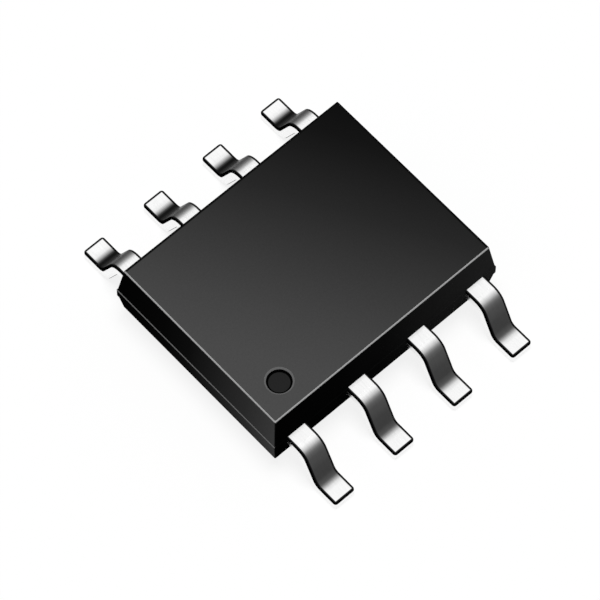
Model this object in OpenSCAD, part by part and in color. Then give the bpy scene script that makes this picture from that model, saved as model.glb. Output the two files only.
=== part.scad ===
// Small-outline chip package for surface mounting.
// A drafted epoxy body seals in the leadframe, the die and its bond wires,
// and eight gull-wing leads come out of its two long sides.
// Origin: centre of the seating plane. +X runs along the body from pin 1,
// +Y across the leads and +Z up. Pins 1 to 4 are on the -Y side from -X to +X,
// and pins 5 to 8 on the +Y side from +X back to -X. All sizes in millimetres.

/* [Body] */
// Length of the moulded body over its parting band
body_l = 4.8; // [4.7:0.05:5.1]
// Width of the moulded body over its parting band
body_w = 3.8; // [3.7:0.05:4]
// Height of the moulded body
body_h = 1.25; // [1.2:0.05:1.5]
// Height of the body above the top of the leads
upper_h = 0.65; // [0.6:0.01:0.7]
// Clear height under the body
standoff = 0.25; // [0.1:0.01:0.25]
// Draft of the four upper sides, in degrees
upper_draft = 9; // [5:1:15]
// Draft of the four lower sides, in degrees
lower_draft = 10; // [5:1:15]
// How far the parting band stands proud of the drafted sides
flash = 0.02; // [0.01:0.005:0.04]
// Width of the bevel round the top face
edge_bevel = 0.03; // [0.01:0.005:0.06]

/* [Pin 1 mark] */
// Diameter of the recessed pin 1 mark
mark_d = 0.43; // [0.3:0.01:0.6]
// Depth of the pin 1 mark
mark_depth = 0.06; // [0.03:0.01:0.1]
// Width of the bevel round the rim of the mark
mark_bevel = 0.03; // [0.01:0.005:0.05]
// Centre of the mark from the end of the body
mark_from_end = 0.68; // [0.5:0.01:1]
// Centre of the mark from the long side of the body
mark_from_side = 0.62; // [0.5:0.01:0.9]

/* [Ejector marks] */
// Diameter of the two ejector pin marks under the body
ejector_d = 0.9; // [0.6:0.05:1.1]
// Depth of the ejector pin marks
ejector_depth = 0.03; // [0.02:0.005:0.05]
// Distance between the centres of the ejector pin marks
ejector_pitch = 2.6; // [2:0.1:2.8]

/* [Leads] */
// Distance from one lead to the next along the body
lead_pitch = 1.27; // [1.2:0.01:1.3]
// Width of a lead
lead_w = 0.4; // [0.33:0.01:0.5]
// Thickness of the leadframe metal
lead_t = 0.2; // [0.17:0.005:0.25]
// Span over the tips of the feet
lead_span = 6; // [5.9:0.05:6.2]
// Flat length of a foot
foot_l = 0.36; // [0.3:0.01:0.4]
// Slope of the leg below the horizontal, in degrees
leg_slope = 65; // [60:1:75]
// Inner radius of the bend at the shoulder
shoulder_r = 0.09; // [0.05:0.01:0.12]
// Inner radius of the bend at the ankle
ankle_r = 0.12; // [0.08:0.01:0.15]

/* [Leadframe inside the body] */
// Length of the die pad
pad_l = 2.9; // [2.6:0.05:3.1]
// Width of the die pad
pad_w = 2.2; // [2:0.05:2.3]
// Corner radius of the die pad
pad_corner_r = 0.08; // [0.02:0.01:0.15]
// How far the die pad is set down below the leads
pad_drop = 0.15; // [0.1:0.01:0.2]
// Width of a tie bar
tie_w = 0.3; // [0.2:0.01:0.4]
// Slope of the set-down bend in a tie bar, in degrees
tie_slope = 45; // [35:1:55]
// Thickness of resin over the cut end of a tie bar
tie_cover = 0.06; // [0.03:0.01:0.1]
// Gap between the die pad and the lead fingers
frame_gap = 0.2; // [0.15:0.01:0.25]
// Depth of the locking head on a lead finger
head_d = 0.32; // [0.25:0.01:0.35]
// How far the locking head stands out beyond each side of the lead
head_ear = 0.12; // [0.05:0.01:0.2]
// Width of the tail that runs beside the die pad on a corner finger
tail_w = 0.3; // [0.2:0.01:0.35]
// Distance of a tail's end from the centreline of the body
tail_from_middle = 0.55; // [0.45:0.01:0.7]

/* [Die] */
// Length of the die
die_l = 1.6; // [1.2:0.05:2]
// Width of the die
die_w = 1.4; // [1.1:0.05:1.7]
// Thickness of the die
die_t = 0.25; // [0.15:0.01:0.3]
// Thickness of the die attach layer
attach_t = 0.025; // [0.02:0.005:0.04]
// How far the die attach shows round the die
attach_margin = 0.06; // [0.03:0.01:0.1]

/* [Bond wires] */
// Diameter of a bond wire
wire_d = 0.03; // [0.025:0.001:0.04]
// Diameter of the ball bond on the die
ball_d = 0.08; // [0.07:0.005:0.1]
// Height of the ball bond
ball_h = 0.02; // [0.015:0.001:0.03]
// Straight length of wire above the ball
neck_h = 0.04; // [0.02:0.005:0.06]
// Radius of the bend at the top of the loop, to the middle of the wire
crown_r = 0.06; // [0.04:0.005:0.08]
// Diameter of the stitch bond on the lead finger
stitch_d = 0.08; // [0.07:0.005:0.1]
// Thickness of the stitch bond
stitch_t = 0.012; // [0.01:0.001:0.02]
// Distance of a stitch from the end of its lead finger
stitch_from_end = 0.12; // [0.08:0.01:0.15]
// Distance of a ball from the edge of the die
ball_from_edge = 0.09; // [0.07:0.01:0.12]
// Distance of the side leads' balls from the middle of the die
side_ball_x = 0.35; // [0.2:0.01:0.45]
// Distance of the corner leads' balls from the middle of the die
corner_ball_y = 0.4; // [0.25:0.01:0.45]

/* [Hidden] */
lead_count = 8;
per_side = lead_count / 2;
pins = [1 : lead_count];

$fn = 48;
// Reach of a cutter past the face it cuts
past = 1;

// Heights of the body and the leads
top_z = standoff + body_h;
lead_top_z = top_z - upper_h;
lead_low_z = lead_top_z - lead_t;
lower_h = lead_low_z - standoff;

// Bend centres of a gull-wing lead, in its own Y and Z
bend_sum = shoulder_r + ankle_r + lead_t;
leg_drop = lead_low_z - bend_sum * (1 - cos(leg_slope));
leg_l = leg_drop / sin(leg_slope);
ankle_y = lead_span / 2 - foot_l;
shoulder_y = ankle_y - bend_sum * sin(leg_slope) - leg_l * cos(leg_slope);

// Layout of the lead fingers round the die pad
head_y = pad_w / 2 + frame_gap;
tail_x = pad_l / 2 + frame_gap;
corner_x = lead_pitch * (per_side - 1) / 2;

// Stack on the die pad
pad_top_z = lead_top_z - pad_drop;
attach_top_z = pad_top_z + attach_t;
die_top_z = attach_top_z + die_t;

// Side of the body that a pin is on, the number halfway along its row of pins,
// and its place along the body
function pin_side(pin) = pin <= per_side ? -1 : 1;
function row_middle(pin) = (pin <= per_side ? 1 : 3) * per_side / 2 + 1 / 2;
function pin_x(pin) = pin_side(pin) * lead_pitch * (row_middle(pin) - pin);
function at_corner(pin) = abs(pin_x(pin)) > corner_x - lead_pitch / 2;

// Place of a point of the positive quarter in the quarter of a pin
function at_pin(pin, point) = [point.x * sign(pin_x(pin)), point.y * pin_side(pin)];

// Ends of a pin's wire
function ball_at(pin) = at_pin(pin, at_corner(pin)
    ? [die_l / 2 - ball_from_edge, corner_ball_y]
    : [side_ball_x, die_w / 2 - ball_from_edge]);
function stitch_at(pin) = at_pin(pin, at_corner(pin)
    ? [tail_x + tail_w / 2, tail_from_middle + stitch_from_end]
    : [abs(pin_x(pin)), head_y + stitch_from_end]);

// Puts what is drawn in the positive quarter into the quarter of a pin
module to_pin(pin) {
    mirror([pin_x(pin) < 0 ? 1 : 0, 0, 0])
        mirror([0, pin_side(pin) < 0 ? 1 : 0, 0])
            children();
}

// Stands a drawing of Y against Z up, as a solid of width w with its middle at x
module across(x, w) {
    translate([x - w / 2, 0, 0])
        rotate([90, 0, 90])
            linear_extrude(w)
                children();
}

// Section of the moulding, which is as wide as given over the parting band
module drafted_section(width) {
    band = width / 2;
    root = band - flash;
    low = root - lower_h * tan(lower_draft);
    shoulder = root - (upper_h - edge_bevel) * tan(upper_draft);
    half = [
        [low, standoff],
        [root, lead_low_z],
        [band, lead_low_z],
        [band, lead_top_z],
        [root, lead_top_z],
        [shoulder, top_z - edge_bevel],
        [shoulder - edge_bevel, top_z]
    ];
    polygon([each half, for (i = [len(half) - 1 : -1 : 0]) [-half[i].x, half[i].y]]);
}

// Outer form of the moulding, with the pin 1 mark and the ejector marks
module moulding() {
    difference() {
        intersection() {
            across(0, body_l) drafted_section(body_w);
            rotate([0, 0, 90]) across(0, body_w) drafted_section(body_l);
        }
        translate([mark_from_end - body_l / 2, mark_from_side - body_w / 2, top_z]) pin_mark();
        for (side = [-1, 1])
            translate([side * ejector_pitch / 2, 0, standoff - past])
                cylinder(d = ejector_d, h = past + ejector_depth);
    }
}

// Cutter for the pin 1 mark, from its floor to above the top face
module pin_mark() {
    translate([0, 0, -mark_depth])
        cylinder(d = mark_d, h = mark_depth + past);
    translate([0, 0, -mark_bevel])
        cylinder(d1 = mark_d, d2 = mark_d + 2 * (mark_bevel + past), h = mark_bevel + past);
}

// Bend in the leadframe metal, drawn in the XY plane with its centre at the origin
module bend(inner_r, from) {
    rotate([0, 0, from])
        rotate_extrude(angle = leg_slope)
            translate([inner_r, 0])
                square([lead_t, lead_w]);
}

// Gull wing from inside the body to the foot, with its profile in the XY plane
module gull_wing() {
    translate([head_y, lead_low_z, 0])
        cube([shoulder_y - head_y, lead_t, lead_w]);
    translate([shoulder_y, lead_low_z - shoulder_r, 0]) {
        bend(shoulder_r, 90 - leg_slope);
        rotate([0, 0, 90 - leg_slope])
            translate([shoulder_r, -leg_l, 0])
                cube([lead_t, leg_l, lead_w]);
    }
    translate([ankle_y, lead_t + ankle_r, 0])
        bend(ankle_r, 270 - leg_slope);
    translate([ankle_y, 0, 0])
        cube([foot_l, lead_t, lead_w]);
}

// Plate in the leadframe metal between two corners, with its underside at z
module plate(low, high, z) {
    translate([low.x, low.y, z])
        cube([high.x - low.x, high.y - low.y, lead_t]);
}

// Locking head of a finger, with a tail beside the die pad on a corner finger
module finger(pin) {
    stem = lead_w / 2 + head_ear;
    x = abs(pin_x(pin));
    if (at_corner(pin)) {
        plate([tail_x, head_y], [x + stem, head_y + head_d], lead_low_z);
        plate([tail_x, tail_from_middle], [tail_x + tail_w, head_y + head_d], lead_low_z);
    } else {
        plate([x - stem, head_y], [x + stem, head_y + head_d], lead_low_z);
    }
}

// One lead of the leadframe, from the end of its finger to the tip of its foot
module lead_form(pin) {
    to_pin(pin) {
        translate([abs(pin_x(pin)) - lead_w / 2, 0, 0])
            rotate([90, 0, 90])
                gull_wing();
        finger(pin);
    }
}

// Die pad with its two set-down tie bars
module die_pad_form() {
    corner = [pad_l / 2 - pad_corner_r, pad_w / 2 - pad_corner_r];
    pad_low_z = pad_top_z - lead_t;
    // Corners of a tie bar's middle line, and how far its faces' corners lie from them
    low_x = pad_l / 2;
    high_x = low_x + pad_drop / tan(tie_slope);
    lean = lead_t / 2 * tan(tie_slope / 2);
    plate([-corner.x, -pad_w / 2], [corner.x, pad_w / 2], pad_low_z);
    plate([-pad_l / 2, -corner.y], [pad_l / 2, corner.y], pad_low_z);
    for (x = [-1, 1], y = [-1, 1])
        translate([x * corner.x, y * corner.y, pad_low_z])
            cylinder(r = pad_corner_r, h = lead_t);
    for (turn = [0, 180])
        rotate([90, 0, turn])
            translate([0, 0, -tie_w / 2])
                linear_extrude(tie_w)
                    polygon([
                        [corner.x, pad_low_z],
                        [low_x + lean, pad_low_z],
                        [high_x + lean, lead_low_z],
                        [body_l / 2 - tie_cover, lead_low_z],
                        [body_l / 2 - tie_cover, lead_top_z],
                        [high_x - lean, lead_top_z],
                        [low_x - lean, pad_top_z],
                        [corner.x, pad_top_z]
                    ]);
}

// Block of the given height over the die, wider than it by a margin all round
module over_die(margin, low_z, high_z) {
    translate([-die_l / 2 - margin, -die_w / 2 - margin, low_z])
        cube([die_l + 2 * margin, die_w + 2 * margin, high_z - low_z]);
}

module die_attach_form() {
    over_die(attach_margin, pad_top_z, attach_top_z);
}

module die_form() {
    over_die(0, attach_top_z, die_top_z);
}

// Round wire that leaves the origin towards -X and bends down through an angle
module wire_arc(arc_r, angle) {
    translate([0, -arc_r, 0])
        rotate([0, 0, 90])
            rotate_extrude(angle = angle, $fn = 180)
                translate([arc_r, 0])
                    circle(d = wire_d, $fn = 24);
}

// Wire that rises from a ball on the die and falls in one long arc to its stitch
module bond_wire_form(pin) {
    start = ball_at(pin);
    reach = stitch_at(pin) - start;
    neck_z = die_top_z + ball_h;
    apex_z = neck_z + neck_h + crown_r;
    fall = apex_z - lead_top_z;
    run = norm(reach) - crown_r;
    landing = 2 * atan(fall / run);
    // The long arc runs on past the finger's face by this angle, and is cut off there
    run_on = 3;
    translate([start.x, start.y, 0])
        rotate([0, 0, atan2(reach.y, reach.x)]) {
            translate([0, 0, die_top_z])
                cylinder(d = ball_d, h = ball_h, $fn = 32);
            translate([0, 0, neck_z])
                cylinder(d = wire_d, h = neck_h, $fn = 24);
            translate([crown_r, 0, apex_z])
                rotate([90, 0, 0])
                    wire_arc(crown_r, 90);
            intersection() {
                translate([crown_r, 0, apex_z])
                    rotate([90, 0, 180])
                        wire_arc(run / sin(landing), landing + run_on);
                translate([0, -past / 2, lead_top_z])
                    cube([norm(reach) + past, past, past]);
            }
            translate([norm(reach), 0, lead_top_z])
                cylinder(d = stitch_d, h = stitch_t, $fn = 32);
        }
}

module encapsulant() {
    color("#2b2c2e")
        difference() {
            moulding();
            for (pin = pins) lead_form(pin);
            die_pad_form();
            die_attach_form();
            die_form();
            for (pin = pins) bond_wire_form(pin);
        }
}

module lead(pin) {
    color("#d4d5d6") lead_form(pin);
}

module die_pad() {
    color("#c77d4f") die_pad_form();
}

module die_attach() {
    color("#b9bcc0") die_attach_form();
}

module die() {
    color("#5a6478") die_form();
}

module bond_wire(pin) {
    color("#e6b84a") bond_wire_form(pin);
}

encapsulant();
for (pin = pins) lead(pin);
die_pad();
die_attach();
die();
for (pin = pins) bond_wire(pin);
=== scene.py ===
"""Looks of a small-outline chip package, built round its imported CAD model.

A moulded epoxy body and eight formed, tin-plated leads stand for their CAD nodes,
the sealed inner pieces keep their CAD meshes, and every surface gets its finish here.
Run as a script, it makes everything in order and leaves the panel in the 3D view.
"""

import math

import bmesh
import bpy
from bpy.props import FloatProperty, FloatVectorProperty, IntProperty, PointerProperty
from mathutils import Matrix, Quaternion, Vector


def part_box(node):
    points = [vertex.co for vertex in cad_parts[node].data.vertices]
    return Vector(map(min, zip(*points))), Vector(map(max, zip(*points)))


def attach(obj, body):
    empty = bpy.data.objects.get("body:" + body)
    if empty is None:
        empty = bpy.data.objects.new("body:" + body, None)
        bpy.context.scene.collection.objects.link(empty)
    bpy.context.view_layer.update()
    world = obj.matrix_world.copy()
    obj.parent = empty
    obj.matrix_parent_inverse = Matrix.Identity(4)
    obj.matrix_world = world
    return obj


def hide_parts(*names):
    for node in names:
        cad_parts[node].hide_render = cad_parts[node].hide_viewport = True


bl_info = {
    "name": "Small-outline chip package",
    "version": (1, 0, 0),
    "blender": (4, 5, 0),
    "location": "3D View > Sidebar > Chip",
    "description": "Makes the moulded body, the formed leads and the finishes of a chip package",
    "category": "Object",
}

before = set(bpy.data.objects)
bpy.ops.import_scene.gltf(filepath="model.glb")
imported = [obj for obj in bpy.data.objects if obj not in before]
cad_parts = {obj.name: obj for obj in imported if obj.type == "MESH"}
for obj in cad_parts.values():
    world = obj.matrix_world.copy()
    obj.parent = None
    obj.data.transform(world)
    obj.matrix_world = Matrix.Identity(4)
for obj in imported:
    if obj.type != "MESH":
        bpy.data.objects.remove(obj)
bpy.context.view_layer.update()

MM = 0.001
BODY = "root"
LEAD_COUNT = 8
PER_SIDE = LEAD_COUNT // 2

# Places that the CAD model gives: the body, a corner lead and the lead beside it
BODY_LOW, BODY_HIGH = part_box("encapsulant")
CORNER_LOW, CORNER_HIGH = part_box("lead_5")
BESIDE_LOW, BESIDE_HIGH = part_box("lead_6")
LEAD_PITCH = BESIDE_LOW.x + BESIDE_HIGH.x
CORNER_X = LEAD_PITCH * (PER_SIDE - 1) / 2
LEAD_TOP = BESIDE_HIGH.z
LEAD_TIP = BESIDE_HIGH.y

# Order of the material slots on the body
TOP, SIDE, EDGE, PARTING, RIM, RECESS, MARK_FLOOR = range(7)


def length(name, description, default_mm, low_mm=0.0, high_mm=10.0):
    """Length property, given in millimetres and held in metres."""
    return FloatProperty(
        name=name, description=description, default=default_mm * MM,
        min=low_mm * MM, max=high_mm * MM, precision=6, unit="LENGTH",
    )


def angle(name, description, default_deg, low_deg=-360.0, high_deg=360.0):
    """Angle property, given in degrees and held in radians."""
    return FloatProperty(
        name=name, description=description, default=math.radians(default_deg),
        min=math.radians(low_deg), max=math.radians(high_deg), subtype="ANGLE",
    )


def share(name, description, default):
    """Plain factor from 0 to 1."""
    return FloatProperty(
        name=name, description=description, default=default, min=0.0, max=1.0, subtype="FACTOR",
    )


def grey(name, description, tone):
    """Grey property, given as a display tone from 0 to 255 and held as a linear colour."""
    return FloatVectorProperty(
        name=name, description=description, default=linear_grey(tone),
        min=0.0, max=1.0, size=3, subtype="COLOR",
    )


def colour(name, description, value):
    """Colour property, given as linear red, green and blue."""
    return FloatVectorProperty(
        name=name, description=description, default=value,
        min=0.0, max=1.0, size=3, subtype="COLOR",
    )


def linear_tone(tone):
    """Linear value of a display tone from 0 to 255."""
    value = tone / 255
    if value <= 0.04045:
        return value / 12.92
    return ((value + 0.055) / 1.055) ** 2.4


def linear_grey(tone):
    return (linear_tone(tone),) * 3


class BodySettings(bpy.types.PropertyGroup):
    """Sizes and finish of the moulded body."""

    trim: length("Trim", "How far deflashing takes the parting band back", 0.03)
    flash: length("Parting Band", "How far the band still stands proud of the sides", 0.012)
    band_height: length("Band Height", "Height of the parting band", 0.2)
    upper_draft: angle("Upper Draft", "Draft of the upper sides", 7.6)
    lower_draft: angle("Lower Draft", "Draft of the lower sides", 7.8)
    edge_round: length("Top Edge", "Radius of the round top edge", 0.021)
    foot_round: length("Bottom Edge", "Radius of the round bottom edge", 0.02)
    corner_round: length("Corners", "Radius of the four upright edges", 0.02)
    round_steps: IntProperty(
        name="Round Steps", description="Faces across each round edge", default=5, min=2, max=12,
    )
    mark_from_end: length("Mark From End", "Pin 1 mark's centre from the end of the body", 0.66)
    mark_from_side: length("Mark From Side", "Pin 1 mark's centre from the long side", 0.62)
    mark_diameter: length("Mark Diameter", "Diameter of the pin 1 mark inside its rim", 0.42)
    mark_rim: length("Mark Rim", "Width of the bevelled rim of the pin 1 mark", 0.028)
    mark_depth: length("Mark Depth", "Depth of the pin 1 mark", 0.064)
    ejector_diameter: length("Ejector Diameter", "Diameter of the two ejector marks", 0.9)
    ejector_pitch: length("Ejector Pitch", "Distance between the ejector marks", 2.6)
    ejector_depth: length("Ejector Depth", "Depth of the ejector marks", 0.03)
    circle_steps: IntProperty(
        name="Circle Steps", description="Faces round each circular mark", default=72, min=12,
        max=256,
    )
    # Width of the painted shade along the two far edges of the top face
    far_edge_shade_width: length("Far Edge Shade", "Width of the shade painted along the far edges", 0.03)
    # Highlight painted along the top edge's two sides at the pin 1 corner
    edge_highlight_grey: grey("Edge", "Painted highlight of the top edge", 164)
    # Painted highlight on the parting band's bevel at the ends of the body
    parting_highlight_grey: grey("Parting Line", "Bevel along the parting band at the ends of the body", 112)
    # Painted highlight on the bevelled rim of the pin 1 mark
    rim_highlight_grey: grey("Mark Rim", "Rim of the pin 1 mark", 108)
    floor_grey: grey("Mark Floor", "Floor of the pin 1 mark", 31)
    # Painted shade in the deep corners of the marks
    recess_shade_grey: grey("Recess", "Deep, unlit corners of the marks", 2)
    grain_size: length("Grain", "Size of the filler grains in the resin", 0.035)
    grain: share("Grain Contrast", "How far the filler grains change the tone", 0.12)


class LeadSettings(bpy.types.PropertyGroup):
    """Sizes and finish of the formed leads."""

    width: length("Width", "Width of a lead over its plating", 0.42)
    thickness: length("Thickness", "Thickness of the leadframe metal", 0.2)
    foot: length("Foot", "Flat length of a foot", 0.36)
    slope: angle("Leg Slope", "Slope of the leg below the horizontal", 65)
    shoulder_radius: length("Shoulder", "Inner radius of the bend at the shoulder", 0.09)
    ankle_radius: length("Ankle", "Inner radius of the bend at the ankle", 0.12)
    head_depth: length("Head Depth", "Depth of the locking head", 0.32)
    tail_width: length("Tail Width", "Width of the tail beside the die pad", 0.3)
    sheared_edge: length("Sheared Edge", "Radius that stamping leaves on the edges", 0.02)
    fracture: length("Fracture", "Height of the dull upper band on the stamped sides", 0.05)
    # Width of the painted shade along the plated edges
    edge_shade_margin: length("Edge Margin", "Width of the dark margin along the plated edges", 0.024)
    tip_round: length("Tip Corners", "Radius of the two corners at the tip of a foot", 0.05)
    edge_steps: IntProperty(
        name="Edge Steps", description="Faces across each sheared edge", default=3, min=1, max=6,
    )
    bend_steps: IntProperty(
        name="Bend Steps", description="Faces round each bend", default=16, min=4, max=48,
    )
    # Near black: the dull fractured band, its tone painted shade
    sheared_shade_grey: grey("Sheared Metal", "Dull upper band of the stamped sides", 3)
    burnish_grey: grey("Burnished Metal", "Polished lower band of the stamped sides", 244)
    streak_size: length("Streaks", "Width of the rolling streaks in the plating", 0.02)
    streaks: share("Streak Contrast", "How far the rolling streaks change the tone", 0.10)


class InnerSettings(bpy.types.PropertyGroup):
    """Finishes of the pieces that the body seals in."""

    copper: colour("Leadframe Copper", "Copper alloy of the die pad", (0.56, 0.24, 0.13))
    silver: colour("Silver Epoxy", "Die attach layer", (0.42, 0.43, 0.44))
    silicon: colour("Silicon", "Face of the die", (0.075, 0.09, 0.13))
    track: colour("Metal Tracks", "Wiring blocks on the face of the die", (0.30, 0.27, 0.22))
    gold: colour("Gold Wire", "Bond wires", (0.83, 0.57, 0.20))


class StageSettings(bpy.types.PropertyGroup):
    """Camera, floor and light."""

    azimuth: angle("Azimuth", "Camera's place round the part", -42.586)
    elevation: angle("Elevation", "Camera's height over the part", 63.344)
    roll: angle("Roll", "Camera's turn about its own axis", 0.39)
    distance: length("Distance", "Camera's distance from its target", 75.05, 10, 500)
    target: FloatVectorProperty(
        name="Target", description="Point that the camera looks at", size=3, unit="LENGTH",
        default=(-0.00029, -0.000164, 0.0007), precision=6,
    )
    lens: FloatProperty(
        name="Lens", description="Focal length on a 36 mm sensor, in millimetres",
        default=284.45, min=20, max=500,
    )
    fill: share("Fill", "Brightness of the room on the part", 0.28)
    key: share("Key", "Light of the overhead softbox on a level face", 0.74)
    key_height: length("Softbox Height", "Height of the softbox over the part", 70, 20, 500)
    key_size: length("Softbox Size", "Side of the square softbox", 28, 5, 500)
    shadow: share("Floor Shadow", "How far the part's shadow shows on the floor", 0.15)
    floor_grey: grey("Floor", "Floor's own tone", 235)


GROUPS = {
    "chip_body": BodySettings,
    "chip_leads": LeadSettings,
    "chip_inner": InnerSettings,
    "chip_stage": StageSettings,
}


# ---------------------------------------------------------------- node helpers


def add(tree, kind, values=None, **settings):
    """New node of a kind, with its settings and the unlinked values of its inputs."""
    node = tree.nodes.new(kind)
    for name, value in settings.items():
        setattr(node, name, value)
    for socket, value in (values or {}).items():
        node.inputs[socket].default_value = value
    return node


def calculate(tree, operation, *terms):
    """Output of a Math node on up to three terms, each a socket or a number."""
    node = add(tree, "ShaderNodeMath", operation=operation)
    for index, term in enumerate(terms):
        if isinstance(term, bpy.types.NodeSocket):
            tree.links.new(term, node.inputs[index])
        else:
            node.inputs[index].default_value = term
    return node.outputs[0]


def ramp(tree, factor, stops):
    """Output of a colour ramp with stops of (place from 0 to 1, linear colour)."""
    node = add(tree, "ShaderNodeValToRGB")
    elements = node.color_ramp.elements
    while len(elements) < len(stops):
        elements.new(1.0)
    for element, (place, value) in zip(elements, stops):
        element.position = place
        element.color = (*value, 1.0)
    tree.links.new(factor, node.inputs["Fac"])
    return node.outputs["Color"]


def grain(tree, place, size, stretch=(1.0, 1.0, 1.0), detail=3.0):
    """Noise from about 0 to 1 on a place, with grains of a size in metres."""
    mapping = add(tree, "ShaderNodeMapping", {"Scale": tuple(s / size for s in stretch)})
    noise = add(tree, "ShaderNodeTexNoise", {"Scale": 1.0, "Detail": detail, "Roughness": 0.6})
    tree.links.new(place, mapping.inputs["Vector"])
    tree.links.new(mapping.outputs["Vector"], noise.inputs["Vector"])
    return noise.outputs["Fac"]


def varied(tree, base, noise, amount):
    """Base colour made lighter and darker by a noise, by up to an amount."""
    swing = calculate(tree, "MULTIPLY_ADD", noise, 2 * amount, 1 - amount)
    scale = add(tree, "ShaderNodeVectorMath", operation="SCALE")
    tree.links.new(base, scale.inputs[0])
    tree.links.new(swing, scale.inputs["Scale"])
    return scale.outputs["Vector"]


def bumped(tree, shader, noise, depth):
    """Gives a shader the relief of a noise, of a depth in metres."""
    bump = add(tree, "ShaderNodeBump", {"Strength": 1.0, "Distance": depth})
    tree.links.new(noise, bump.inputs["Height"])
    tree.links.new(bump.outputs["Normal"], shader.inputs["Normal"])


def new_finish(name, roughness, specular, metallic=0.0):
    """Material with its own shader, and the tree, shader and Object place in it."""
    material = bpy.data.materials.new(name)
    material.use_nodes = True
    tree = material.node_tree
    shader = tree.nodes["Principled BSDF"]
    shader.inputs["Roughness"].default_value = roughness
    shader.inputs["Specular IOR Level"].default_value = specular
    shader.inputs["Metallic"].default_value = metallic
    place = add(tree, "ShaderNodeTexCoord").outputs["Object"]
    return material, tree, shader, place


# ---------------------------------------------------------------- resin finishes


def resin(name, body, base_of, specular=0.05, roughness=0.55):
    """Filled epoxy with fine grains, whose tone comes from base_of(tree, place)."""
    material, tree, shader, place = new_finish(name, roughness, specular)
    grains = grain(tree, place, body.grain_size)
    base = varied(tree, base_of(tree, place), grains, body.grain)
    tree.links.new(base, shader.inputs["Base Color"])
    bumped(tree, shader, grains, 0.0015 * MM)
    return material


def plain(value):
    """Base of one colour, which the resin's grains then vary."""
    def base_of(tree, place):
        node = add(tree, "ShaderNodeRGB")
        node.outputs[0].default_value = (*value, 1.0)
        return node.outputs[0]
    return base_of


# Painted light and shade on the top face: its tone against the way down its slope of tones, from dark
# to light
TOP_PAINTED_LIGHT_FALL = Vector((-11.5, -6.5, 0.0)) / MM
TOP_PAINTED_LIGHT_TONES = ((-36, 3), (-30, 9), (-25, 18), (-13.5, 33), (0, 50), (14, 63), (24, 69), (36, 71))


def painted_light_top_base(body):
    """Satin top face with painted light, lighter towards the pin 1 corner, and painted shade along
    its far edges.
    """
    def base_of(tree, place):
        slope = add(tree, "ShaderNodeVectorMath", operation="DOT_PRODUCT")
        slope.inputs[1].default_value = TOP_PAINTED_LIGHT_FALL
        tree.links.new(place, slope.inputs[0])
        low, high = TOP_PAINTED_LIGHT_TONES[0][0], TOP_PAINTED_LIGHT_TONES[-1][0]
        span = high - low
        part = calculate(tree, "MULTIPLY_ADD", slope.outputs["Value"], 1 / span, -low / span)
        tones = ramp(tree, part, [((at - low) / span, linear_grey(tone)) for at, tone in TOP_PAINTED_LIGHT_TONES])
        # Painted shade darkens a margin along the two far edges of the top face
        inset = wall_steps(body)[-1][0]
        parts = add(tree, "ShaderNodeSeparateXYZ")
        tree.links.new(place, parts.inputs[0])
        past_end = calculate(tree, "SUBTRACT", parts.outputs["X"], BODY_HIGH.x - inset)
        past_side = calculate(tree, "SUBTRACT", parts.outputs["Y"], BODY_HIGH.y - inset)
        nearer = calculate(tree, "MAXIMUM", past_end, past_side)
        margin = calculate(tree, "MULTIPLY_ADD", nearer, 1 / body.far_edge_shade_width, 1.0)
        far_edge_shaded = add(tree, "ShaderNodeVectorMath", operation="MULTIPLY")
        tree.links.new(tones, far_edge_shaded.inputs[0])
        shade = ramp(tree, margin, [(0.0, (1.0,) * 3), (0.35, (0.12,) * 3), (0.7, (0.0,) * 3)])
        tree.links.new(shade, far_edge_shaded.inputs[1])
        return far_edge_shaded.outputs["Vector"]
    return base_of


# Painted light and shade on the ends and on the long sides: tone along each, as a share of the way
# from 0 to 1
END_PAINTED_LIGHT = ((0.0, 4), (0.3, 11), (0.45, 19), (0.6, 36), (0.8, 54), (1.0, 74))
FLANK_PAINTED_LIGHT = ((0.0, 3), (0.3, 7), (0.5, 14), (0.7, 27), (1.0, 40))


def on_the_ends(tree, normal):
    """1 where the surface faces along the body, and 0 where it faces across it."""
    facing = add(tree, "ShaderNodeSeparateXYZ")
    tree.links.new(normal, facing.inputs[0])
    end = calculate(tree, "ABSOLUTE", facing.outputs["X"])
    flank = calculate(tree, "ABSOLUTE", facing.outputs["Y"])
    return calculate(tree, "GREATER_THAN", end, flank)


def blend_tones(tree, factor, first, second):
    """Colour that goes from the first to the second with a factor."""
    mix = add(tree, "ShaderNodeMix", data_type="RGBA")
    for source, socket in ((factor, "Factor"), (first, "A"), (second, "B")):
        sockets = [item for item in mix.inputs if item.name == socket and item.enabled]
        tree.links.new(source, sockets[0])
    return [item for item in mix.outputs if item.enabled][0]


def painted_light_side_base(tree, place):
    """Drafted sides with painted light and shade, each of which lightens from one upright edge to the
    next.
    """
    normal = add(tree, "ShaderNodeNewGeometry").outputs["True Normal"]
    turn = add(tree, "ShaderNodeVectorMath", operation="CROSS_PRODUCT")
    tree.links.new(normal, turn.inputs[0])
    tree.links.new(place, turn.inputs[1])
    along = add(tree, "ShaderNodeSeparateXYZ")
    tree.links.new(turn.outputs["Vector"], along.inputs[0])
    bases = []
    for half, tones in ((BODY_HIGH.x, FLANK_PAINTED_LIGHT), (BODY_HIGH.y, END_PAINTED_LIGHT)):
        part = calculate(tree, "MULTIPLY_ADD", along.outputs["Z"], 0.5 / half, 0.5)
        bases.append(ramp(tree, part, [(at, linear_grey(tone)) for at, tone in tones]))
    return blend_tones(tree, on_the_ends(tree, normal), *bases)


def parting_highlight_base(body):
    """Bevel of the parting band, with a painted highlight at the ends of the body alone."""
    def base_of(tree, place):
        normal = add(tree, "ShaderNodeNewGeometry").outputs["True Normal"]
        # Painted highlight on the bevel at the ends
        polished = plain(body.parting_highlight_grey)(tree, place)
        return blend_tones(tree, on_the_ends(tree, normal), painted_light_side_base(tree, place), polished)
    return base_of


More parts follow.
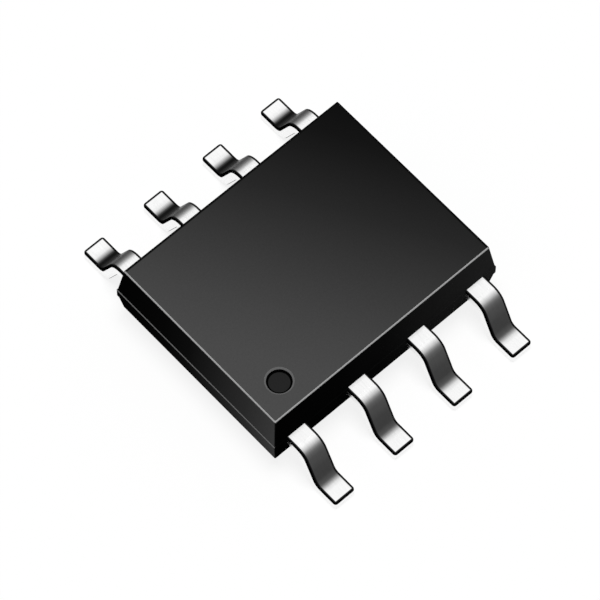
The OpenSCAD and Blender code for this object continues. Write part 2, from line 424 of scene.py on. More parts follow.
# Tone of the top edge away from its painted highlight, which is painted shade
EDGE_SHADE_TONE = 5


def edge_highlight_base(body):
    """Top edge with a painted highlight along the two sides that meet at the pin 1 corner, and
    painted shade along the other two.
    """
    def base_of(tree, place):
        facing = add(tree, "ShaderNodeSeparateXYZ")
        normal = add(tree, "ShaderNodeNewGeometry").outputs["True Normal"]
        tree.links.new(normal, facing.inputs[0])
        both = calculate(tree, "ADD", facing.outputs["X"], facing.outputs["Y"])
        towards = calculate(tree, "MULTIPLY_ADD", both, -0.5, 0.5)
        edge_highlight_tone = body.edge_highlight_grey
        dark = linear_grey(EDGE_SHADE_TONE)
        return ramp(tree, towards, [(0.0, dark), (0.5, dark), (0.56, edge_highlight_tone), (1.0, edge_highlight_tone)])
    return base_of


def resin_finishes(body):
    """Materials of the body in the order of its slots."""
    return [
        resin("resin_top_face_painted_light", body, painted_light_top_base(body), specular=0.03),
        resin("resin_sides_painted_light", body, painted_light_side_base, specular=0.0),
        resin("resin_edge_highlight", body, edge_highlight_base(body), specular=0.0, roughness=0.4),
        resin("resin_parting_highlight", body, parting_highlight_base(body), specular=0.0),
        resin("resin_mark_rim_highlight", body, plain(body.rim_highlight_grey), specular=0.1, roughness=0.4),
        resin("resin_recess_painted_shade", body, plain(body.recess_shade_grey), specular=0.0),
        resin("resin_mark_floor", body, plain(body.floor_grey), specular=0.03),
    ]


# ---------------------------------------------------------------- mesh helpers


# An edge is sharp at this fold, or where one face is this many times as large as the other
SHARP_FOLD = math.radians(30)
UNEVEN_AREAS = 4.0


def ring(bm, points):
    """Closed loop of vertices with its edges."""
    verts = [bm.verts.new(point) for point in points]
    edges = [bm.edges.new((verts[i - 1], verts[i])) for i in range(len(verts))]
    return verts, edges


def wrap(bm, lower, upper, slot):
    """Strip of faces between two loops with as many vertices."""
    for i in range(len(lower)):
        face = bm.faces.new((lower[i - 1], lower[i], upper[i], upper[i - 1]))
        face.material_index = slot


def fill(bm, loops, slot):
    """Level face inside the first loop, with the other loops as holes."""
    edges = [edge for loop in loops for edge in loop]
    made = bmesh.ops.triangle_fill(bm, edges=edges, use_beauty=True, use_dissolve=False)
    for part in made["geom"]:
        if isinstance(part, bmesh.types.BMFace):
            part.material_index = slot


def circle(centre, radius, z, steps):
    turns = (2 * math.pi * i / steps for i in range(steps))
    return [(centre.x + radius * math.cos(a), centre.y + radius * math.sin(a), z) for a in turns]


def rounded_rectangle(half_x, half_y, z, radius, steps):
    """Loop of points round the origin, with each corner a quarter of a circle."""
    points = []
    for quarter, (side_x, side_y) in enumerate(((1, 1), (-1, 1), (-1, -1), (1, -1))):
        for step in range(steps + 1):
            a = math.radians(90) * (quarter + step / steps)
            x = side_x * (half_x - radius) + radius * math.cos(a)
            y = side_y * (half_y - radius) + radius * math.sin(a)
            points.append((x, y, z))
    return points


def sharpen(bm):
    """Smooth faces, with a sharp edge at a fold and where a wide flat meets a round."""
    bm.normal_update()
    for face in bm.faces:
        face.smooth = True
    for edge in bm.edges:
        areas = sorted(face.calc_area() for face in edge.link_faces)
        uneven = len(areas) == 2 and areas[1] > UNEVEN_AREAS * areas[0]
        edge.smooth = not uneven and edge.calc_face_angle(0.0) < SHARP_FOLD


def finished_object(name, bm, materials):
    """Object at the origin from a closed bmesh, with its faces outward."""
    bmesh.ops.recalc_face_normals(bm, faces=bm.faces[:])
    sharpen(bm)
    mesh = bpy.data.meshes.new(name)
    bm.to_mesh(mesh)
    bm.free()
    for material in materials:
        mesh.materials.append(material)
    piece = bpy.data.objects.new(name, mesh)
    bpy.context.scene.collection.objects.link(piece)
    return piece


# ---------------------------------------------------------------- moulded body


def wall_steps(body):
    """Steps up the wall as (inset from the band, height, slot of the strip that ends there)."""
    bottom, top = BODY_LOW.z, BODY_HIGH.z
    band_top = LEAD_TOP
    band_low = band_top - body.band_height
    root = body.trim + body.flash
    foot_inset = root + (band_low - bottom) * math.tan(body.lower_draft)
    edge_z = top - body.edge_round
    edge_inset = root + (edge_z - band_top) * math.tan(body.upper_draft)
    turns = [math.radians(90) * i / body.round_steps for i in range(body.round_steps + 1)]
    steps = []
    for a in turns:
        inset = foot_inset + body.foot_round * (1 - math.sin(a))
        steps.append((inset, bottom + body.foot_round * (1 - math.cos(a)), SIDE))
    steps += [(root, band_low, SIDE), (body.trim, band_low + body.flash, SIDE)]
    steps += [(body.trim, band_top - body.flash, SIDE), (root, band_top, PARTING)]
    steps.append((edge_inset, edge_z, SIDE))
    for a in turns[1:]:
        inset = edge_inset + body.edge_round * (1 - math.cos(a))
        steps.append((inset, edge_z + body.edge_round * math.sin(a), EDGE))
    return steps


def sink(bm, centre, steps, floor_slot, count):
    """Round recess through steps of (radius, height, slot), and the edges of its rim."""
    rim_edges, last = None, None
    for radius, z, slot in steps:
        verts, edges = ring(bm, circle(centre, radius, z, count))
        if last is None:
            rim_edges = edges
        else:
            wrap(bm, last, verts, slot)
        last = verts
    floor = bm.faces.new(last)
    floor.material_index = floor_slot
    return rim_edges


def pin_mark_steps(body):
    """Bevelled rim, short wall and hollow corner of the pin 1 mark."""
    top = BODY_HIGH.z
    radius = body.mark_diameter / 2
    corner = body.mark_depth - body.mark_rim
    steps = [(radius + body.mark_rim, top, RIM), (radius, top - body.mark_rim, RIM)]
    for step in range(1, body.round_steps + 1):
        a = math.radians(90) * step / body.round_steps
        z = top - body.mark_rim - corner * math.sin(a)
        steps.append((radius - corner * (1 - math.cos(a)), z, RECESS))
    return steps


def make_body_mesh(body):
    bm = bmesh.new()
    loops = []
    for inset, z, slot in wall_steps(body):
        outline = rounded_rectangle(
            BODY_HIGH.x - inset, BODY_HIGH.y - inset, z, body.corner_round, body.round_steps
        )
        verts, edges = ring(bm, outline)
        if loops:
            wrap(bm, loops[-1][0], verts, slot)
        loops.append((verts, edges))
    mark = Vector((body.mark_from_end - BODY_HIGH.x, body.mark_from_side - BODY_HIGH.y))
    mark_rim = sink(bm, mark, pin_mark_steps(body), MARK_FLOOR, body.circle_steps)
    fill(bm, [loops[-1][1], mark_rim], TOP)
    bottom = BODY_LOW.z
    radius = body.ejector_diameter / 2
    rims = []
    for side in (-1, 1):
        steps = [(radius, bottom, SIDE), (radius, bottom + body.ejector_depth, SIDE)]
        centre = Vector((side * body.ejector_pitch / 2, 0.0))
        rims.append(sink(bm, centre, steps, SIDE, body.circle_steps))
    fill(bm, [loops[0][1], *rims], SIDE)
    return bm


class CHIP_OT_moulded_body(bpy.types.Operator):
    """Make the drafted epoxy body with its pin 1 mark and ejector marks"""

    bl_idname = "chip.moulded_body"
    bl_label = "Moulded Body"

    def execute(self, context):
        body = context.scene.chip_body
        piece = finished_object("moulded_body", make_body_mesh(body), resin_finishes(body))
        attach(piece, BODY)
        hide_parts("encapsulant")
        return {"FINISHED"}


# ---------------------------------------------------------------- formed leads


# A face of the flat blank that faces up or down by more than this belongs to the sheet
SHEET_FACING = 0.98
# Folds of the blank over this angle are its cut edges
CUT_EDGE_FOLD = math.radians(60)

# Painted light and shade on the plating, bright on the level faces, dark down the leg and, on the far
# row, at the heel:
# tone against the distance from the tip's line back to the body's wall, as a share of that reach, for
# the row on the pin 1 side and for the other row
REACH = LEAD_TIP - BODY_HIGH.y
NEAR_ROW_PAINTED_LIGHT = (
    (0.18, 252), (0.205, 250), (0.236, 228), (0.272, 193), (0.304, 142), (0.330, 108), (0.353, 92),
    (0.39, 80), (0.43, 76), (0.49, 66), (0.545, 66), (0.60, 74), (0.63, 78), (0.65, 92),
    (0.675, 135), (0.705, 185), (0.735, 226), (0.79, 247), (1.0, 249),
)
FAR_ROW_PAINTED_LIGHT = (
    (0.16, 250), (0.20, 236), (0.236, 178), (0.272, 124), (0.304, 88), (0.330, 66), (0.353, 54),
    (0.40, 52), (0.47, 63), (0.55, 70), (0.58, 58), (0.61, 30), (0.65, 5), (0.68, 5), (0.705, 66),
    (0.735, 150), (0.79, 238), (0.85, 250), (1.0, 251),
)


def plating(name, tones, leads):
    """Tin plating with painted light and shade, bright on the level faces and dark down the leg, with
    rolling streaks.
    """
    material, tree, shader, place = new_finish(name, 0.38, 0.06)
    parts = add(tree, "ShaderNodeSeparateXYZ")
    tree.links.new(place, parts.inputs[0])
    out = calculate(tree, "ABSOLUTE", parts.outputs["Y"])
    along = calculate(tree, "MULTIPLY_ADD", out, 1 / REACH, -BODY_HIGH.y / REACH)
    base = ramp(tree, along, [(at, linear_grey(tone)) for at, tone in tones])

    # Painted shade: a dark margin where the sheet turns over into its cut edges, beside and at the
    # tip
    rim = leads.sheared_edge + leads.edge_shade_margin
    pitches = calculate(tree, "FRACT", calculate(tree, "DIVIDE", parts.outputs["X"], LEAD_PITCH))
    across = calculate(tree, "ABSOLUTE", calculate(tree, "SUBTRACT", pitches, 0.5))
    past_side = calculate(tree, "MULTIPLY_ADD", across, LEAD_PITCH, rim - leads.width / 2)
    past_tip = calculate(tree, "SUBTRACT", out, LEAD_TIP - rim)
    nearer = calculate(tree, "MAXIMUM", past_side, past_tip)
    margin = calculate(tree, "DIVIDE", nearer, leads.edge_shade_margin)
    shade = ramp(tree, margin, [(0.0, (1.0,) * 3), (0.3, (0.01,) * 3)])
    rimmed = add(tree, "ShaderNodeVectorMath", operation="MULTIPLY")
    tree.links.new(base, rimmed.inputs[0])
    tree.links.new(shade, rimmed.inputs[1])
    base = rimmed.outputs["Vector"]

    streaks = grain(tree, place, leads.streak_size, stretch=(1.0, 0.08, 0.08), detail=2.0)
    tree.links.new(varied(tree, base, streaks, leads.streaks), shader.inputs["Base Color"])
    rough = calculate(tree, "MULTIPLY_ADD", streaks, 0.2, 0.28)
    tree.links.new(rough, shader.inputs["Roughness"])
    bumped(tree, shader, streaks, 0.0006 * MM)
    return material


def sheared_metal_shade(leads):
    """Dull, fractured metal along the top of the stamped sides and the cut ends, with its near black
    tone painted shade.
    """
    material, tree, shader, place = new_finish("sheared_metal_shade", 0.6, 0.0)
    burrs = grain(tree, place, leads.streak_size, stretch=(1.0, 1.0, 0.3))
    base = varied(tree, plain(leads.sheared_shade_grey)(tree, place), burrs, 0.4)
    tree.links.new(base, shader.inputs["Base Color"])
    bumped(tree, shader, burrs, 0.001 * MM)
    return material


def burnished_metal(leads):
    """Metal that the stamping tool has polished, along the bottom of the sides and cut ends."""
    material, tree, shader, place = new_finish("burnished_metal", 0.2, 0.5, metallic=1.0)
    drags = grain(tree, place, leads.streak_size, stretch=(1.0, 1.0, 0.1))
    base = varied(tree, plain(leads.burnish_grey)(tree, place), drags, 0.02)
    tree.links.new(base, shader.inputs["Base Color"])
    tree.links.new(calculate(tree, "MULTIPLY_ADD", drags, 0.2, 0.1), shader.inputs["Roughness"])
    bumped(tree, shader, drags, 0.0004 * MM)
    return material


def bend_stations(leads):
    """Places along the flat blank, from the middle of the body, where the bends start and end."""
    turn = leads.slope
    bend_sum = leads.shoulder_radius + leads.ankle_radius + leads.thickness
    drop = LEAD_TOP - leads.thickness - bend_sum * (1 - math.cos(turn))
    leg = drop / math.sin(turn)
    ankle_y = LEAD_TIP - leads.foot
    shoulder_y = ankle_y - bend_sum * math.sin(turn) - leg * math.cos(turn)
    half = leads.thickness / 2
    shoulder_end = shoulder_y + (leads.shoulder_radius + half) * turn
    ankle_start = shoulder_end + leg
    ankle_end = ankle_start + (leads.ankle_radius + half) * turn
    return shoulder_y, shoulder_end, ankle_start, ankle_end, ankle_end + leads.foot


def blank_rectangles(leads, at_corner, tail_side):
    """Rectangles of the flat blank as (low x, high x, near end, far end), about the lead's middle."""
    half = leads.width / 2
    head_y = BESIDE_LOW.y
    head_end = head_y + leads.head_depth
    tip = bend_stations(leads)[-1]
    strip = (-half, half, head_y, tip)
    if not at_corner:
        ear = (BESIDE_HIGH.x - BESIDE_LOW.x) / 2
        return [strip, (-ear, ear, head_y, head_end)]
    inner, outer = CORNER_LOW.x - CORNER_X, CORNER_HIGH.x - CORNER_X
    head = [inner, outer]
    tail = [inner, inner + leads.tail_width]
    if tail_side > 0:
        head = [-outer, -inner]
        tail = [-tail[1], -tail[0]]
    return [strip, (*head, head_y, head_end), (*tail, CORNER_LOW.y, head_end)]


def stamp_blank(rectangles, cuts, leads):
    """Closed flat plate over the rectangles, cut across wherever it will bend."""
    half = leads.thickness / 2
    heights = (-half, half - leads.fracture, half)
    columns = sorted({x for r in rectangles for x in r[:2]})
    rows = sorted({y for r in rectangles for y in r[2:]} | set(cuts))
    cells = set()
    for i in range(len(columns) - 1):
        for j in range(len(rows) - 1):
            x = (columns[i] + columns[i + 1]) / 2
            y = (rows[j] + rows[j + 1]) / 2
            if any(r[0] < x < r[1] and r[2] < y < r[3] for r in rectangles):
                cells.add((i, j))
    bm = bmesh.new()
    verts = {}

    def vert(i, j, level):
        if (i, j, level) not in verts:
            verts[i, j, level] = bm.verts.new((columns[i], rows[j], heights[level]))
        return verts[i, j, level]

    for i, j in cells:
        corners = [(i, j), (i + 1, j), (i + 1, j + 1), (i, j + 1)]
        bm.faces.new([vert(*corner, 0) for corner in corners[::-1]])
        bm.faces.new([vert(*corner, 2) for corner in corners])
        beyond = [(i, j - 1), (i + 1, j), (i, j + 1), (i - 1, j)]
        for k, neighbour in enumerate(beyond):
            if neighbour not in cells:
                a, b = corners[k], corners[(k + 1) % 4]
                for low, high in ((0, 1), (1, 2)):
                    side = (vert(*a, low), vert(*b, low), vert(*b, high), vert(*a, high))
                    bm.faces.new(side)
    weight = bm.edges.layers.float.new("bevel_weight_edge")
    near_tip = (rows[-2] + rows[-1]) / 2
    for edge in bm.edges:
        a, b = edge.verts
        at_tip = min(a.co.y, b.co.y) > near_tip
        edge[weight] = float(at_tip and abs(a.co.x - b.co.x) < half / 10
                             and abs(a.co.z - b.co.z) > half / 10)
    return bm


def forming_tree(plated, sheared, burnished):
    """Geometry Nodes that bend a flat blank along a gull-wing line and put it in its place."""
    tree = bpy.data.node_groups.new("gull_wing_forming", "GeometryNodeTree")
    sockets = tree.interface
    sockets.new_socket("Geometry", in_out="INPUT", socket_type="NodeSocketGeometry")
    for name in ("Top Height", "Foot Height", "Shoulder Corner", "Ankle Corner", "Tip",
                 "Shoulder Radius", "Ankle Radius", "Fracture Line", "Burr Line", "Turn"):
        sockets.new_socket(name, in_out="INPUT", socket_type="NodeSocketFloat")
    sockets.new_socket("Bend Steps", in_out="INPUT", socket_type="NodeSocketInt")
    sockets.new_socket("Place", in_out="INPUT", socket_type="NodeSocketVector")
    sockets.new_socket("Geometry", in_out="OUTPUT", socket_type="NodeSocketGeometry")
    given = add(tree, "NodeGroupInput").outputs
    link = tree.links.new

    # The line through the middle of the metal: level, down the leg and along the foot
    points = add(tree, "GeometryNodeIndexSwitch", data_type="VECTOR")
    while len(points.index_switch_items) < 4:
        points.index_switch_items.new()
    index = add(tree, "GeometryNodeInputIndex").outputs[0]
    link(index, points.inputs["Index"])
    line_ends = ((None, "Top Height"), ("Shoulder Corner", "Top Height"),
                 ("Ankle Corner", "Foot Height"), ("Tip", "Foot Height"))
    for number, (y, z) in enumerate(line_ends):
        point = add(tree, "ShaderNodeCombineXYZ")
        if y:
            link(given[y], point.inputs["Y"])
        link(given[z], point.inputs["Z"])
        link(point.outputs[0], points.inputs[number + 1])
    line = add(tree, "GeometryNodeMeshLine", {"Count": 4})
    placed = add(tree, "GeometryNodeSetPosition")
    link(line.outputs["Mesh"], placed.inputs["Geometry"])
    link(points.outputs[0], placed.inputs["Position"])
    curve = add(tree, "GeometryNodeMeshToCurve")
    link(placed.outputs[0], curve.inputs["Mesh"])
    bend_radius = add(tree, "GeometryNodeSwitch", input_type="FLOAT")
    at_ankle = add(tree, "FunctionNodeCompare", data_type="INT", operation="EQUAL")
    link(index, at_ankle.inputs["A"])
    at_ankle.inputs["B"].default_value = 2
    link(at_ankle.outputs[0], bend_radius.inputs["Switch"])
    link(given["Shoulder Radius"], bend_radius.inputs["False"])
    link(given["Ankle Radius"], bend_radius.inputs["True"])
    bent = add(tree, "GeometryNodeFilletCurve", mode="POLY")
    link(curve.outputs[0], bent.inputs["Curve"])
    link(bend_radius.outputs[0], bent.inputs["Radius"])
    link(given["Bend Steps"], bent.inputs["Count"])

    # Each point of the blank goes to its place along the line, as high over it as before
    flat = add(tree, "ShaderNodeSeparateXYZ")
    link(add(tree, "GeometryNodeInputPosition").outputs[0], flat.inputs[0])
    sample = add(tree, "GeometryNodeSampleCurve", mode="LENGTH")
    link(bent.outputs[0], sample.inputs["Curves"])
    link(flat.outputs["Y"], sample.inputs["Length"])
    tangent = add(tree, "ShaderNodeSeparateXYZ")
    link(sample.outputs["Tangent"], tangent.inputs[0])
    lift = add(tree, "ShaderNodeCombineXYZ")
    link(flat.outputs["X"], lift.inputs["X"])
    back = calculate(tree, "MULTIPLY", tangent.outputs["Z"], flat.outputs["Z"])
    link(calculate(tree, "MULTIPLY", back, -1.0), lift.inputs["Y"])
    link(calculate(tree, "MULTIPLY", tangent.outputs["Y"], flat.outputs["Z"]), lift.inputs["Z"])
    formed_at = add(tree, "ShaderNodeVectorMath", operation="ADD")
    link(sample.outputs["Position"], formed_at.inputs[0])
    link(lift.outputs[0], formed_at.inputs[1])
    facing = add(tree, "ShaderNodeSeparateXYZ")
    link(add(tree, "GeometryNodeInputNormal").outputs[0], facing.inputs[0])
    stamped = add(tree, "GeometryNodeCaptureAttribute", domain="FACE")
    for name in ("Height", "Facing"):
        stamped.capture_items.new("FLOAT", name)
    link(given["Geometry"], stamped.inputs["Geometry"])
    link(flat.outputs["Z"], stamped.inputs["Height"])
    link(facing.outputs["Z"], stamped.inputs["Facing"])
    formed = add(tree, "GeometryNodeSetPosition")
    link(stamped.outputs["Geometry"], formed.inputs["Geometry"])
    link(formed_at.outputs[0], formed.inputs["Position"])

    turn = add(tree, "ShaderNodeCombineXYZ")
    link(given["Turn"], turn.inputs["Z"])
    moved = add(tree, "GeometryNodeTransform")
    link(formed.outputs[0], moved.inputs["Geometry"])
    link(turn.outputs[0], moved.inputs["Rotation"])
    link(given["Place"], moved.inputs["Translation"])
    last = add(tree, "GeometryNodeRealizeInstances")
    link(moved.outputs[0], last.inputs[0])

    # The faces of the sheet are plated, and its cut sides have a dull band, near black with painted
    # shade, and a polished band
    flatness = calculate(tree, "ABSOLUTE", stamped.outputs["Facing"])
    of_sheet = calculate(tree, "GREATER_THAN", flatness, SHEET_FACING)
    fractured = calculate(tree, "GREATER_THAN", stamped.outputs["Height"], given["Fracture Line"])
    burred = calculate(tree, "LESS_THAN", stamped.outputs["Height"], given["Burr Line"])
    dull = calculate(tree, "MAXIMUM", fractured, burred)
    geometry = last.outputs[0]
    for material, faces in ((burnished, None), (sheared, dull), (plated, of_sheet)):
        painted = add(tree, "GeometryNodeSetMaterial", {"Material": material})
        link(geometry, painted.inputs["Geometry"])
        if faces:
            link(faces, painted.inputs["Selection"])
        geometry = painted.outputs[0]
    link(geometry, add(tree, "NodeGroupOutput").inputs["Geometry"])
    return tree


def set_inputs(modifier, values):
    """Sets a Geometry Nodes modifier's inputs by the identifiers of their sockets."""
    named = {item.name: item.identifier for item in modifier.node_group.interface.items_tree
             if item.in_out == "INPUT"}
    for name, value in values.items():
        modifier[named[name]] = value


def pin_place(pin):
    """Side of the body that a pin is on, and its place along the body."""
    side = -1 if pin <= PER_SIDE else 1
    row_middle = (1 if pin <= PER_SIDE else 3) * PER_SIDE / 2 + 0.5
    return side, side * LEAD_PITCH * (row_middle - pin)


def form_lead(pin, leads, tree, materials):
    """One lead: stamped flat, its edges rounded, bent, and set in its pin's place."""
    side, x = pin_place(pin)
    at_corner = abs(x) > CORNER_X - LEAD_PITCH / 2
    stations = bend_stations(leads)
    cuts = []
    for start, end in (stations[0:2], stations[2:4]):
        cuts += [start + (end - start) * i / leads.bend_steps for i in range(leads.bend_steps + 1)]
    rectangles = blank_rectangles(leads, at_corner, -side * x)
    bm = stamp_blank(rectangles, cuts, leads)
    name = f"formed_lead_{pin}"
    blank = finished_object(f"{name}_blank", bm, materials)
    tip = blank.modifiers.new("tip_corners", "BEVEL")
    tip.width = leads.tip_round
    tip.segments = leads.edge_steps + 1
    tip.limit_method = "WEIGHT"
    edges = blank.modifiers.new("sheared_edges", "BEVEL")
    edges.width = leads.sheared_edge
    edges.segments = leads.edge_steps
    edges.limit_method = "ANGLE"
    edges.angle_limit = CUT_EDGE_FOLD
    forming = blank.modifiers.new("forming", "NODES")
    forming.node_group = tree
    half = leads.thickness / 2
    reach = math.tan(leads.slope / 2)
    shoulder = leads.shoulder_radius + half
    ankle = leads.ankle_radius + half
    set_inputs(forming, {
        "Top Height": LEAD_TOP - half,
        "Foot Height": half,
        "Shoulder Corner": stations[0] + shoulder * reach,
        "Ankle Corner": LEAD_TIP - leads.foot - ankle * reach,
        "Tip": LEAD_TIP,
        "Shoulder Radius": shoulder,
        "Ankle Radius": ankle,
        "Fracture Line": half - leads.fracture,
        "Burr Line": leads.sheared_edge / 2 - half,
        "Turn": 0.0 if side > 0 else math.pi,
        "Bend Steps": leads.bend_steps,
        "Place": (x, 0.0, 0.0),
    })
    graph = bpy.context.evaluated_depsgraph_get()
    mesh = bpy.data.meshes.new_from_object(blank.evaluated_get(graph))
    blank.modifiers.clear()
    bpy.data.objects.remove(blank)
    bm = bmesh.new()
    bm.from_mesh(mesh)
    sharpen(bm)
    bm.to_mesh(mesh)
    bm.free()
    mesh.name = name
    piece = bpy.data.objects.new(name, mesh)
    bpy.context.scene.collection.objects.link(piece)
    return piece


class CHIP_OT_formed_leads(bpy.types.Operator):
    """Stamp, form and plate the eight gull-wing leads"""

    bl_idname = "chip.formed_leads"
    bl_label = "Formed Leads"

    def execute(self, context):
        leads = context.scene.chip_leads
        cut = [sheared_metal_shade(leads), burnished_metal(leads)]
        rows = {}
        for side, name, tones in ((-1, "tin_near_row_painted_light", NEAR_ROW_PAINTED_LIGHT), (1, "tin_far_row_painted_light", FAR_ROW_PAINTED_LIGHT)):
            plated = plating(name, tones, leads)
            rows[side] = (forming_tree(plated, *cut), [plated, *cut])
        for pin in range(1, LEAD_COUNT + 1):
            tree, materials = rows[pin_place(pin)[0]]
            piece = form_lead(pin, leads, tree, materials)
            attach(piece, BODY)
            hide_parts(f"lead_{pin}")
        return {"FINISHED"}


# ---------------------------------------------------------------- sealed pieces


def rolled_copper(inner):
    """Leadframe copper with rolling marks along its length."""
    material, tree, shader, place = new_finish("rolled_copper", 0.35, 0.5, metallic=1.0)
    marks = grain(tree, place, 0.03 * MM, stretch=(0.06, 1.0, 1.0))
    base = varied(tree, plain(inner.copper)(tree, place), marks, 0.18)
    tree.links.new(base, shader.inputs["Base Color"])
    tree.links.new(calculate(tree, "MULTIPLY_ADD", marks, 0.3, 0.2), shader.inputs["Roughness"])
    bumped(tree, shader, marks, 0.001 * MM)
    return material


def silver_epoxy(inner):
    """Die attach paste, full of silver flakes."""
    material, tree, shader, place = new_finish("silver_flakes", 0.5, 0.5, metallic=0.6)
    flakes = add(tree, "ShaderNodeTexVoronoi", {"Scale": 1 / (0.02 * MM)})
    tree.links.new(place, flakes.inputs["Vector"])
    base = varied(tree, plain(inner.silver)(tree, place), flakes.outputs["Distance"], 0.35)
    tree.links.new(base, shader.inputs["Base Color"])
    bumped(tree, shader, flakes.outputs["Distance"], 0.002 * MM)
    return material


def patterned_silicon(inner):
    """Face of the die, with blocks of fine wiring."""
    material, tree, shader, place = new_finish("patterned_silicon", 0.18, 0.6)
    blocks = add(tree, "ShaderNodeTexBrick", {
        "Scale": 1 / MM, "Mortar Size": 0.012, "Brick Width": 0.31, "Row Height": 0.17,
        "Color1": (*inner.silicon, 1.0), "Color2": (*(0.6 * Vector(inner.silicon)), 1.0),
        "Mortar": (*inner.track, 1.0),
    })
    tree.links.new(place, blocks.inputs["Vector"])
    cells = grain(tree, place, 0.012 * MM)
    tree.links.new(varied(tree, blocks.outputs["Color"], cells, 0.3), shader.inputs["Base Color"])
    bumped(tree, shader, blocks.outputs["Fac"], 0.0005 * MM)
    return material


def drawn_gold(inner):
    """Gold wire with faint drawing marks."""
    material, tree, shader, place = new_finish("drawn_gold", 0.22, 0.5, metallic=1.0)
    marks = grain(tree, place, 0.01 * MM)
    base = varied(tree, plain(inner.gold)(tree, place), marks, 0.1)
    tree.links.new(base, shader.inputs["Base Color"])
    bumped(tree, shader, marks, 0.0003 * MM)
    return material


class CHIP_OT_sealed_pieces(bpy.types.Operator):
    """Give the die pad, die attach, die and bond wires their finishes"""

    bl_idname = "chip.sealed_pieces"
    bl_label = "Sealed Pieces"

    def execute(self, context):
        inner = context.scene.chip_inner
        gold = drawn_gold(inner)
        finishes = {
            "die_pad": rolled_copper(inner),
            "die_attach": silver_epoxy(inner),
            "die": patterned_silicon(inner),
        }
        finishes.update({f"bond_wire_{pin}": gold for pin in range(1, LEAD_COUNT + 1)})
        for name, material in finishes.items():
            for material_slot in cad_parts[name].material_slots:
                material_slot.material = material
        return {"FINISHED"}


# ---------------------------------------------------------------- stage


# The floor's half side and how far it lies below the feet, and the camera's sensor in mm
FLOOR_HALF_SIDE = 0.5
FLOOR_GAP = 0.002 * MM
SENSOR_WIDTH = 36


def seen_directly(tree):
    """1 for camera, glossy and transmission rays, and 0 for those that carry light."""
    path = add(tree, "ShaderNodeLightPath")
    camera, glossy = path.outputs["Is Camera Ray"], path.outputs["Is Glossy Ray"]
    either = calculate(tree, "MAXIMUM", camera, glossy)
    return calculate(tree, "MAXIMUM", either, path.outputs["Is Transmission Ray"])


def white_room(stage):
    """World that shows white and gives the part an even fill."""
    world = bpy.data.worlds.new("white_room")
    world.use_nodes = True
    tree = world.node_tree
    tree.nodes.clear()
    white = add(tree, "ShaderNodeBackground", {"Color": (1, 1, 1, 1), "Strength": 1.0})
    light = add(tree, "ShaderNodeBackground", {"Color": (1, 1, 1, 1), "Strength": stage.fill})
    mix = add(tree, "ShaderNodeMixShader")
    tree.links.new(seen_directly(tree), mix.inputs["Fac"])
    tree.links.new(light.outputs[0], mix.inputs[1])
    tree.links.new(white.outputs[0], mix.inputs[2])
    out = add(tree, "ShaderNodeOutputWorld")
    tree.links.new(mix.outputs[0], out.inputs["Surface"])
    bpy.context.scene.world = world


def floor_finish(stage):
    """Pale floor that shows white with a faint shadow of the part."""
    material = bpy.data.materials.new("pale_floor")
    material.use_nodes = True
    tree = material.node_tree
    tree.nodes.clear()
    matt = add(tree, "ShaderNodeBsdfDiffuse", {"Color": (*stage.floor_grey, 1.0)})
    lit = add(tree, "ShaderNodeBsdfDiffuse", {"Color": (1, 1, 1, 1)})
    glow = add(tree, "ShaderNodeEmission", {"Color": (1, 1, 1, 1), "Strength": 1.0})
    shown = add(tree, "ShaderNodeMixShader", {"Fac": stage.shadow})
    tree.links.new(glow.outputs[0], shown.inputs[1])
    tree.links.new(lit.outputs[0], shown.inputs[2])
    mix = add(tree, "ShaderNodeMixShader")
    tree.links.new(seen_directly(tree), mix.inputs["Fac"])
    tree.links.new(matt.outputs[0], mix.inputs[1])
    tree.links.new(shown.outputs[0], mix.inputs[2])
    out = add(tree, "ShaderNodeOutputMaterial")
    tree.links.new(mix.outputs[0], out.inputs["Surface"])
    return material


def make_floor(stage):
    bm = bmesh.new()
    bmesh.ops.create_grid(bm, x_segments=8, y_segments=8, size=FLOOR_HALF_SIDE)
    bmesh.ops.translate(bm, verts=bm.verts[:], vec=(0.0, 0.0, BESIDE_LOW.z - FLOOR_GAP))
    mesh = bpy.data.meshes.new("floor")
    bm.to_mesh(mesh)
    bm.free()
    mesh.materials.append(floor_finish(stage))
    floor = bpy.data.objects.new("floor", mesh)
    bpy.context.scene.collection.objects.link(floor)


def hang_softbox(stage):
    """Square softbox overhead, whose light on a level face is the key share of full."""
    lamp = bpy.data.lights.new("softbox", "AREA")
    lamp.shape = "SQUARE"
    lamp.size = stage.key_size
    lean = stage.key_size / 2 / stage.key_height
    slant = math.hypot(1.0, lean)
    seen = 4 / math.pi * lean / slant * math.atan(lean / slant)
    lamp.energy = stage.key / seen * math.pi * stage.key_size ** 2
    softbox = bpy.data.objects.new("softbox", lamp)
    softbox.location = (0.0, 0.0, stage.key_height)
    bpy.context.scene.collection.objects.link(softbox)


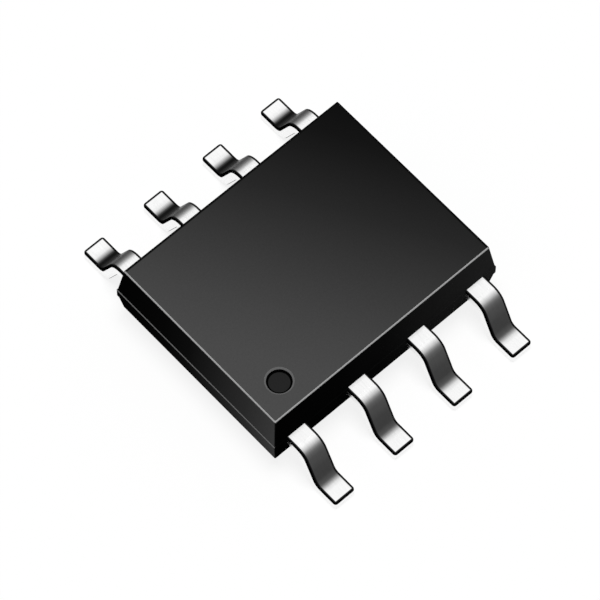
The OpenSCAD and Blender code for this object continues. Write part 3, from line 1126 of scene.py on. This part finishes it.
def place_camera(stage):
    level = math.cos(stage.elevation)
    back = Vector((
        math.sin(stage.azimuth) * level,
        -math.cos(stage.azimuth) * level,
        math.sin(stage.elevation),
    ))
    data = bpy.data.cameras.new("camera")
    data.sensor_width = SENSOR_WIDTH
    data.lens = stage.lens
    data.clip_start = 0.001
    data.clip_end = 10.0
    camera = bpy.data.objects.new("camera", data)
    camera.rotation_mode = "QUATERNION"
    camera.location = Vector(stage.target) + back * stage.distance
    aim = (-back).to_track_quat("-Z", "Y")
    camera.rotation_quaternion = aim @ Quaternion((0.0, 0.0, 1.0), stage.roll)
    bpy.context.scene.collection.objects.link(camera)
    bpy.context.scene.camera = camera


class CHIP_OT_stage(bpy.types.Operator):
    """Set up the camera, the pale floor and the soft light"""

    bl_idname = "chip.stage"
    bl_label = "Stage"

    def execute(self, context):
        stage = context.scene.chip_stage
        place_camera(stage)
        white_room(stage)
        make_floor(stage)
        hang_softbox(stage)
        context.scene.view_settings.view_transform = "Standard"
        return {"FINISHED"}


# ---------------------------------------------------------------- add-on


OPERATORS = (CHIP_OT_stage, CHIP_OT_moulded_body, CHIP_OT_formed_leads, CHIP_OT_sealed_pieces)


class CHIP_PT_panel(bpy.types.Panel):
    """Lists what makes the chip package"""

    bl_idname = "CHIP_PT_panel"
    bl_label = "Chip Package"
    bl_space_type = "VIEW_3D"
    bl_region_type = "UI"
    bl_category = "Chip"

    def draw(self, context):
        for operator in OPERATORS:
            self.layout.operator(operator.bl_idname)
        for name in GROUPS:
            settings = getattr(context.scene, name)
            box = self.layout.box()
            box.label(text=name.replace("_", " ").title())
            for key in settings.__annotations__:
                box.prop(settings, key)


def register():
    for group in GROUPS.values():
        bpy.utils.register_class(group)
    for cls in (*OPERATORS, CHIP_PT_panel):
        bpy.utils.register_class(cls)
    for name, group in GROUPS.items():
        setattr(bpy.types.Scene, name, PointerProperty(type=group))


def unregister():
    for name in GROUPS:
        delattr(bpy.types.Scene, name)
    for cls in (*OPERATORS, CHIP_PT_panel):
        bpy.utils.unregister_class(cls)
    for group in GROUPS.values():
        bpy.utils.unregister_class(group)


def main():
    register()
    bpy.ops.chip.stage()
    bpy.ops.chip.moulded_body()
    bpy.ops.chip.formed_leads()
    bpy.ops.chip.sealed_pieces()


if __name__ == "__main__":
    main()
